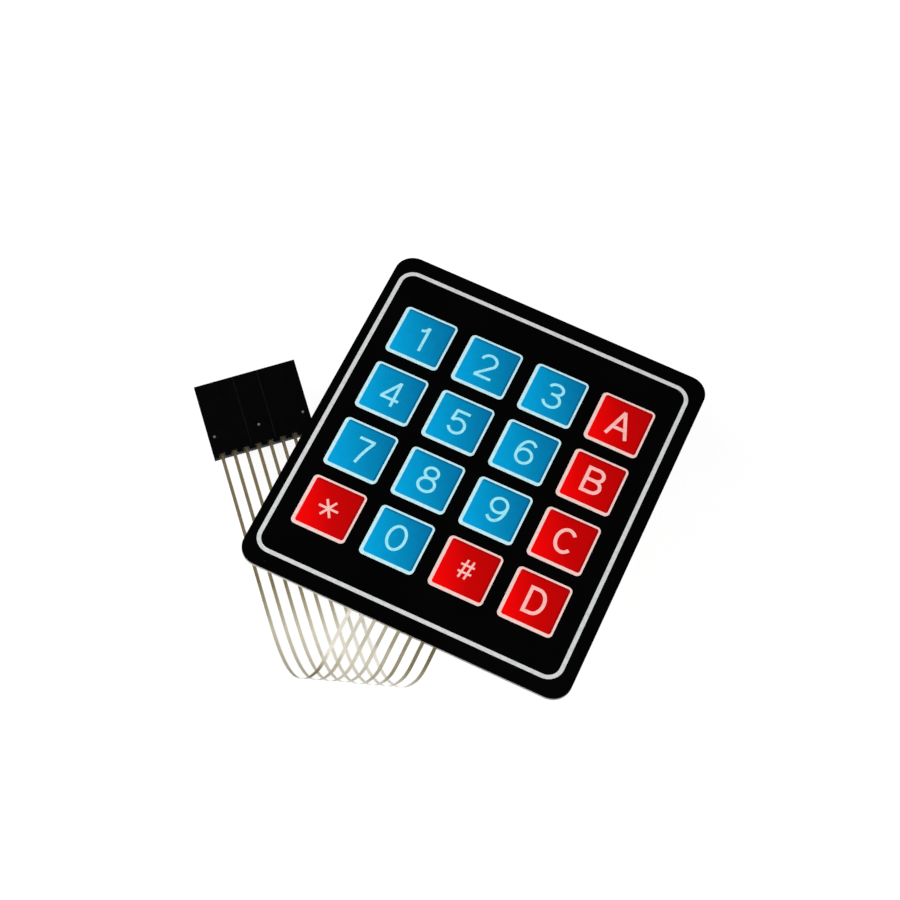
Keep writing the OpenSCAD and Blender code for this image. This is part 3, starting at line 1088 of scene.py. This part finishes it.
@dataclass
class FoldedTail:
    """The clear circuit sheets, laminated and run out as the tail, with the eight conductors in them."""

    front: PrintedFront
    fold: Fold = Fold()
    tail_left: float = -10.54
    tail_l: float = 82.2
    step: float = 0.7
    strips: int = 8
    line_w: float = 0.7
    ink_t: float = 0.02
    spot_d: float = 6
    spot_sides: int = 24
    trace_pitch: float = 2.54
    tail_shift: float = 0.9
    seal_w: float = 3
    lane_pitch: float = 1.3
    film: ClearFilmFinish = ClearFilmFinish()
    ink: ConductorFinish = ConductorFinish()

    def rows(self) -> list[float]:
        """Heights across the flat tail at which it is divided, from the pad's edge to the tail's end."""
        count = math.ceil(self.tail_l / self.step)
        return [-PAD_H / 2 - self.tail_l * i / count for i in range(count + 1)]

    def flat_sheet(self, name: str, low: float, high: float) -> bpy.types.Object:
        """The laminate laid flat: the pad's outline with the tail divided into narrow strips.

        Args:
            name: Name of the object.
            low: Height of the underside.
            high: Height of the upper side.

        Returns:
            The object.
        """
        shape = bmesh.new()
        width = (TAIL_RIGHT - self.tail_left) / self.strips
        across = [self.tail_left + width * i for i in range(self.strips + 1)]
        grid = [[shape.verts.new((x, y, low)) for x in across] for y in self.rows()]
        edge = self.front.outline(PAD_W, PAD_H, PAD_CORNER)
        # The tail joins the lower side, between the third corner's points and the fourth's.
        split = 3 * len(edge) // 4
        rim = [shape.verts.new((x, y, low)) for x, y in edge[:split]]
        rim += grid[0]
        rim += [shape.verts.new((x, y, low)) for x, y in edge[split:]]
        faces = [shape.faces.new(rim)]
        for a, b in zip(grid, grid[1:]):
            for i in range(self.strips):
                faces.append(shape.faces.new((b[i], b[i + 1], a[i + 1], a[i])))
        raised = bmesh.ops.extrude_face_region(shape, geom=faces)["geom"]
        verts = [part for part in raised if isinstance(part, bmesh.types.BMVert)]
        bmesh.ops.translate(shape, verts=verts, vec=(0, 0, high - low))
        bmesh.ops.recalc_face_normals(shape, faces=shape.faces)
        return mesh_object(name, shape)

    def sheet_recipe(self) -> GeometryRecipe:
        """The tree that bends the flat laminate."""
        recipe = GeometryRecipe("bent_sheet")
        recipe.close(self.fold.bend(recipe, recipe.geometry, self.fold.inputs(recipe)))
        return recipe

    def conductor_recipe(self) -> GeometryRecipe:
        """The tree that prints a conductor along its path, with its spots, and bends it with the tail."""
        recipe = GeometryRecipe("bent_conductor")
        width = recipe.number("Line width")
        thick = recipe.number("Ink thickness")
        spot_r = recipe.number("Spot radius")
        sides = recipe.number("Spot sides")
        left = recipe.number("Tail left")
        right = recipe.number("Tail right")
        sizes = self.fold.inputs(recipe)
        x, _, _ = recipe.position()
        curve = recipe.add("GeometryNodeMeshToCurve", {"Mesh": recipe.geometry})
        marked = recipe.add("GeometryNodeSetCurveNormal", {"Curve": curve}, mode="Z_UP")
        places = {"way": self.fold.way(recipe, sizes) / MM, "across": ((x - left) / (right - left)).share()}
        for name, value in places.items():
            links = {"Geometry": marked, "Name": name, "Value": value}
            marked = recipe.add("GeometryNodeStoreNamedAttribute", links, data_type="FLOAT", domain="POINT")
        section = recipe.add("GeometryNodeCurvePrimitiveQuadrilateral", {"Width": width, "Height": thick})
        links = {"Curve": marked, "Profile Curve": section, "Fill Caps": True}
        line = recipe.add("GeometryNodeCurveToMesh", links)
        chosen = recipe.add("GeometryNodeInputNamedAttribute", {"Name": "spot"}, data_type="BOOLEAN")
        disc = recipe.add("GeometryNodeMeshCylinder", {"Vertices": sides, "Radius": spot_r, "Depth": thick})
        links = {"Points": recipe.geometry, "Selection": chosen.outputs["Attribute"], "Instance": disc}
        spots = recipe.add("GeometryNodeInstanceOnPoints", links)
        both = recipe.add("GeometryNodeJoinGeometry")
        for node in (line, spots):
            recipe.feed(both.inputs[0], node)
        real = recipe.add("GeometryNodeRealizeInstances", {"Geometry": both})
        recipe.close(self.fold.bend(recipe, real, sizes))
        return recipe

    def trace_x(self, number: int) -> float:
        """Place across the tail of one of its eight lines."""
        return -self.tail_shift + (number - (LINES - 1) / 2) * self.trace_pitch

    def column_path(self, column: int) -> tuple[list[Point], list[Point]]:
        """A column conductor's path in the pad.

        Args:
            column: Number of the column.

        Returns:
            The spots under its keys, and the corners that lead to the tail.
        """
        spots = [self.front.key_middle(row, column) for row in range(KEYS)]
        # The last column comes from the other side, so it shares the first one's lane.
        lane = -PAD_H / 2 + self.seal_w + column % (KEYS - 1) * self.lane_pitch
        return spots, [(spots[0][0], lane), (self.trace_x(KEYS + column), lane)]

    def row_path(self, row: int) -> tuple[list[Point], list[Point]]:
        """A row conductor's path in the pad.

        Args:
            row: Number of the row.

        Returns:
            The spots under its keys, and the corners that lead to the tail.
        """
        spots = [self.front.key_middle(row, column) for column in reversed(range(KEYS))]
        side = -PAD_W / 2 + self.seal_w + row * self.lane_pitch
        lane = -PAD_H / 2 + self.seal_w + row * self.lane_pitch
        return spots, [(side, spots[0][1]), (side, lane), (self.trace_x(row), lane)]

    def conductor(self, node: str, path: tuple[list[Point], list[Point]], recipe: GeometryRecipe,
                  ink: bpy.types.Material) -> None:
        """Makes one conductor.

        Args:
            node: The CAD node that it stands for.
            path: Its spots and corners in the pad.
            recipe: The tree that prints and bends it.
            ink: Its material.
        """
        spots, corners = path
        middle = level(node, True) - self.ink_t / 2
        tail = [(corners[-1][0], y) for y in self.rows()]
        points = spots + corners + tail
        mesh = bpy.data.meshes.new(node)
        verts = [(x * MM, y * MM, middle * MM) for x, y in points]
        mesh.from_pydata(verts, [(i, i + 1) for i in range(len(verts) - 1)], [])
        flags = mesh.attributes.new("spot", "BOOLEAN", "POINT")
        for i in range(len(spots)):
            flags.data[i].value = True
        values = {"Line_width": self.line_w * MM, "Ink_thickness": self.ink_t * MM}
        values.update(Spot_radius=self.spot_d / 2 * MM, Spot_sides=float(self.spot_sides))
        values.update(Tail_left=self.tail_left * MM, Tail_right=TAIL_RIGHT * MM, Material=ink)
        line = recipe.run(place(f"{node}_line", mesh), **values, **self.fold.values())
        smooth(line)
        hand_in(line, "conductor_ink", node)

    def build(self) -> None:
        """Makes the laminate and the conductors."""
        low = level("rear_adhesive", True)
        high = level("overlay_adhesive", False)
        sheet = self.flat_sheet("circuit_laminate", low, high)
        sheet = self.sheet_recipe().run(sheet, Material=self.film.material(), **self.fold.values())
        smooth(sheet)
        hand_in(sheet, "clear_film", "upper_circuit_film", "circuit_spacer", "lower_circuit_film")
        recipe = self.conductor_recipe()
        ink = self.ink.material()
        for i in range(KEYS):
            self.conductor(f"column_conductor_{i + 1}", self.column_path(i), recipe, ink)
            self.conductor(f"row_conductor_{i + 1}", self.row_path(i), recipe, ink)


@dataclass
class Socket:
    """The black pin socket at the tail's end and its contacts."""

    tail: FoldedTail
    housing_w: float = 21.18
    housing_t: float = 2.6
    tail_grip: float = 4
    pip_r: float = 0.3
    pip_h: float = 0.16
    pip_y: float = 4.4
    pip_inset: float = 1.27
    pip_count: int = 3
    pip_sides: int = 16
    pip_rings: int = 10
    edge_r: float = 0.06
    edge_steps: int = 2
    edge_angle: float = 50
    flat_angle: float = 1
    weld: float = 1e-7
    black: MouldedFinish = MouldedFinish("moulded_black", (4, 4, 4), (2, 2, 2))
    # A paler grey painted on the broken edges stands in for their highlight.
    edge_highlight: MouldedFinish = MouldedFinish("edge_highlight", (38, 38, 40), (26, 26, 28))
    # A pale grey painted on the pips stands in for glints.
    pip_glint: MouldedFinish = MouldedFinish("glint_painted_pips", (150, 148, 152), (92, 90, 96))
    tin: ContactFinish = ContactFinish()

    def housing(self) -> bpy.types.Object:
        """A copy of the CAD housing with its edges broken and painted paler as a highlight.

        Returns:
            The object.
        """
        shape = bmesh.new()
        shape.from_mesh(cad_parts["connector_housing"].data)
        bmesh.ops.remove_doubles(shape, verts=shape.verts, dist=self.weld)
        flat = math.radians(self.flat_angle)
        bmesh.ops.dissolve_limit(shape, angle_limit=flat, verts=shape.verts, edges=shape.edges)
        mesh = bpy.data.meshes.new("socket_housing")
        shape.to_mesh(mesh)
        shape.free()
        mesh.materials.clear()
        mesh.materials.append(self.black.material())
        mesh.materials.append(self.edge_highlight.material())
        obj = place("socket_housing", mesh)
        bevel = obj.modifiers.new("broken_edges", "BEVEL")
        bevel.width = self.edge_r * MM
        bevel.segments = self.edge_steps
        bevel.limit_method = "ANGLE"
        bevel.angle_limit = math.radians(self.edge_angle)
        bevel.use_clamp_overlap = True
        # The second material, a paler grey painted as a highlight, goes on the broken edges.
        bevel.material = 1
        return bake(obj)

    def pip_recipe(self) -> GeometryRecipe:
        """The tree that sets three pips, painted pale as glints, on the housing's face and bends them to the
        tail's end.
        """
        recipe = GeometryRecipe("moulding_pips")
        start = recipe.input("First pip", "Vector")
        span = recipe.number("Pip spacing")
        squash = recipe.number("Squash")
        offset = recipe.add("ShaderNodeCombineXYZ", {"X": span})
        links = {"Count": self.pip_count, "Start Location": start, "Offset": offset}
        row = recipe.add("GeometryNodeMeshLine", links)
        scale = recipe.add("ShaderNodeCombineXYZ", {"X": 1.0, "Y": 1.0, "Z": squash})
        links = {"Points": row, "Instance": recipe.geometry, "Scale": scale}
        pips = recipe.add("GeometryNodeInstanceOnPoints", links)
        real = recipe.add("GeometryNodeRealizeInstances", {"Geometry": pips})
        fold = self.tail.fold
        recipe.close(fold.bend(recipe, real, fold.inputs(recipe)))
        return recipe

    def pips(self) -> bpy.types.Object:
        """Three small domes on the moulding's pips, painted pale as glints.

        Returns:
            The object.
        """
        shape = bmesh.new()
        sides = {"u_segments": self.pip_sides, "v_segments": self.pip_rings}
        bmesh.ops.create_uvsphere(shape, radius=self.pip_r, **sides)
        reach = self.housing_w / 2 - self.pip_inset
        spacing = 2 * reach / (self.pip_count - 1)
        out = -PAD_H / 2 - self.tail.tail_l + self.tail_grip - self.pip_y
        first = Vector((-self.tail.tail_shift - reach, out, self.tail.fold.neutral - self.housing_t / 2)) * MM
        values = {"First_pip": first, "Pip_spacing": spacing * MM, "Squash": self.pip_h / self.pip_r}
        values.update(Material=self.pip_glint.material(), **self.tail.fold.values())
        domes = self.pip_recipe().run(mesh_object("socket_pips", shape), **values)
        smooth(domes)
        return domes

    def build(self) -> None:
        """Makes the housing and its pips, and dresses the contacts."""
        hand_in(self.housing(), "housing_black", "connector_housing")
        hand_in(self.pips(), "housing_black")
        tin = self.tin.material()
        for i in range(LINES):
            dress_node(f"contact_{i + 1}", tin)


class Back:
    """The sheets that show at the pad's edge and on its back."""

    def build(self) -> None:
        """Dresses the adhesive sheets and the release liner."""
        glue = AdhesiveFinish().material()
        dress_node("overlay_adhesive", glue)
        dress_node("rear_adhesive", glue)
        dress_node("release_liner", PaperFinish().material())


@dataclass(frozen=True)
class Lamp:
    """A square soft lamp that faces the keypad: the way to it, its watts, and its sizes in metres."""

    name: str
    way: Triple
    watts: float
    distance: float = 0.8
    size: float = 0.6

    def build(self) -> None:
        """Puts the lamp in its place."""
        data = bpy.data.lights.new(self.name, "AREA")
        data.shape = "SQUARE"
        data.size = self.size
        data.energy = self.watts
        obj = place(self.name, data)
        direction = Vector(self.way).normalized()
        obj.location = direction * self.distance
        obj.rotation_euler = direction.to_track_quat("Z", "Y").to_euler()


@dataclass
class Studio:
    """A pale floor under a soft light, and the photo's camera."""

    floor_r: float = 1.4
    rim_r: float = 0.35
    rim_steps: int = 12
    floor_sides: int = 96
    paper: Linear = (0.8, 0.8, 0.8, 1)
    shade: Linear = (0.16, 0.16, 0.16, 1)
    glow: float = 0.9
    world: float = 0.04
    lamps: tuple[Lamp, ...] = (
        Lamp("lamp_left", (-0.75, -0.35, 0.62), 6.4),
        Lamp("lamp_right", (0.8, 0.1, 0.62), 2.6),
        Lamp("lamp_front", (0.05, -0.85, 0.7), 3.2),
    )
    lens: float = 85.05
    sensor: float = 36
    near: float = 0.01
    turn: Triple = (26.8537, -4.4717, 24.5729)
    eye: Triple = (-5.9030, 3.4453, 420.8102)
    pad_front: float = 0.9

    def floor(self) -> None:
        """Makes a round floor whose rim curves up like a bowl."""
        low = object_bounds()[0].z
        profile = [(self.floor_r, low)]
        for i in range(1, self.rim_steps + 1):
            angle = math.pi / 2 * i / self.rim_steps
            rise = self.rim_r * (1 - math.cos(angle))
            profile.append((self.floor_r + self.rim_r * math.sin(angle), low + rise))
        turns = [2 * math.pi * i / self.floor_sides for i in range(self.floor_sides)]
        shape = bmesh.new()
        loops = []
        for r, z in profile:
            points = [Vector((r * math.cos(a), r * math.sin(a), z)) / MM for a in turns]
            loops.append([shape.verts.new(point) for point in points])
        shape.faces.new(loops[0])
        bridge(shape, loops[::-1])
        obj = mesh_object("floor", shape)
        obj.data.materials.append(self.floor_material())
        smooth(obj)
        obj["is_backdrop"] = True

    def floor_material(self) -> bpy.types.Material:
        """White paper that keeps a faint shadow where the camera sees it."""
        shader = Shader("floor_paper")
        path = shader.add("ShaderNodeLightPath")
        seen = shader.field(path.outputs["Is Camera Ray"])
        for ray in ("Is Glossy Ray", "Is Transmission Ray"):
            seen = seen.at_least(shader.field(path.outputs[ray]))
        plain = shader.add("ShaderNodeBsdfDiffuse", {"Color": self.paper})
        dim = shader.add("ShaderNodeBsdfDiffuse", {"Color": self.shade})
        lit = shader.add("ShaderNodeEmission", {"Strength": self.glow})
        paper = shader.add("ShaderNodeAddShader", {0: dim, 1: lit})
        both = shader.add("ShaderNodeMixShader", {0: seen, 1: plain, 2: paper})
        shader.feed(shader.tree.nodes["Material Output"].inputs["Surface"], both)
        return shader.material

    def camera(self) -> None:
        """The camera at the photo's angle."""
        data = bpy.data.cameras.new("photo_camera")
        data.lens = self.lens
        data.sensor_width = self.sensor
        data.clip_start = self.near
        obj = place("photo_camera", data)
        obj.rotation_euler = Euler([math.radians(a) for a in self.turn], "XYZ")
        offset = obj.rotation_euler.to_matrix() @ Vector(self.eye)
        obj.location = (offset + Vector((0, 0, self.pad_front))) * MM
        bpy.context.scene.camera = obj

    def build(self) -> None:
        """Sets up the floor, the lamps, the world's light and the camera."""
        scene = bpy.context.scene
        scene.view_settings.view_transform = "Standard"
        self.floor()
        for lamp in self.lamps:
            lamp.build()
        world = bpy.data.worlds.new("studio")
        world.use_nodes = True
        light = world.node_tree.nodes["Background"].inputs
        light["Color"].default_value = WHITE
        light["Strength"].default_value = self.world
        scene.world = world
        self.camera()
        LOG.info("studio ready")


def main() -> None:
    """Builds the keypad's looks piece by piece, then the studio."""
    logging.basicConfig(level=logging.INFO, format="%(name)s: %(message)s")
    front = PrintedFront()
    front.build()
    tail = FoldedTail(front)
    tail.build()
    Socket(tail).build()
    Back().build()
    Studio().build()


if __name__ == "__main__":
    main()
